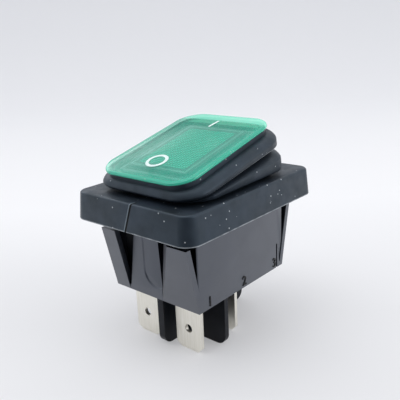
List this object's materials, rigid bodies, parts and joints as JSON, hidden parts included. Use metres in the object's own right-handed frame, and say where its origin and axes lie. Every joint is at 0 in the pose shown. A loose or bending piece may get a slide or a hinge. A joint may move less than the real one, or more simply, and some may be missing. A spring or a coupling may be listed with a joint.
{
  "type": "panel rocker switch",
  "caption": "Snap-in panel rocker switch with a green window in a black rubber bellows boot, blade terminals, a lamp and see-saw contacts.",
  "frame": {"origin": "centre of the panel cut-out, on the face of the panel that the rubber flange seals against", "axes": "+X across the switch towards its right pole, +Y along the switch from its O end to its I end, +Z out of the panel"},
  "size_m": [0.0294, 0.0388, 0.0415],
  "materials": {
    "nylon": "satin black nylon",
    "rubber": "satin black silicone rubber",
    "window": "tinted translucent green, polished",
    "lens": "translucent green, prismatic",
    "lamp_glass": "clear glass",
    "resistor": "lacquered",
    "tinned_wire": "tinned copper wire",
    "plunger": "natural acetal",
    "spring_steel": "spring wire",
    "contact_brass": "stamped brass",
    "silver": "silver rivet",
    "terminal": "tinned brass"
  },
  "bodies": {
    "case": {"housing": "nylon", "boot": "rubber", "lamp": "lamp_glass", "lamp_resistor": "resistor", "lamp_lead_left": "tinned_wire", "lamp_lead_right": "tinned_wire", "fixed_terminal_left": "terminal", "fixed_terminal_right": "terminal", "fixed_contact_left": "silver", "fixed_contact_right": "silver", "common_terminal_left": "terminal", "common_terminal_right": "terminal"},
    "rocker": {"rocker": "nylon", "rocker_lens": "lens", "window": "window", "plunger_spring_left": "spring_steel", "plunger_spring_right": "spring_steel"},
    "plunger_left": {"plunger_left": "plunger"},
    "plunger_right": {"plunger_right": "plunger"},
    "contact_bar_left": {"contact_bar_left": "contact_brass", "contact_tip_left": "silver"},
    "contact_bar_right": {"contact_bar_right": "contact_brass", "contact_tip_right": "silver"}
  },
  "joints": [
    {"name": "rocker_tilt", "type": "hinge", "parent": "case", "child": "rocker", "pos_m": [0, 0, 0.0021], "axis": [-1, 0, 0], "range_deg": [0, 28], "deforming": ["boot"]},
    {"name": "bar_tilt_left", "type": "hinge", "parent": "case", "child": "contact_bar_left", "pos_m": [-0.00545, 0, -0.00911], "axis": [1, 0, 0], "range_deg": [0, 16]},
    {"name": "bar_tilt_right", "type": "hinge", "parent": "case", "child": "contact_bar_right", "pos_m": [0.00545, 0, -0.00911], "axis": [1, 0, 0], "range_deg": [0, 16]},
    {"name": "plunger_slide_left", "type": "slide", "parent": "rocker", "child": "plunger_left", "axis": [0, -0.2419, 0.9703], "range_m": [0, 0.0006], "stiffness_N_per_m": 150, "springref_m": -0.005, "deforming": ["plunger_spring_left"]},
    {"name": "plunger_slide_right", "type": "slide", "parent": "rocker", "child": "plunger_right", "axis": [0, -0.2419, 0.9703], "range_m": [0, 0.0006], "stiffness_N_per_m": 150, "springref_m": -0.005, "deforming": ["plunger_spring_right"]}
  ],
  "couplings": [
    {"joint": "bar_tilt_left", "follows": "rocker_tilt", "ratio": 0.5714},
    {"joint": "bar_tilt_right", "follows": "rocker_tilt", "ratio": 0.5714}
  ]
}
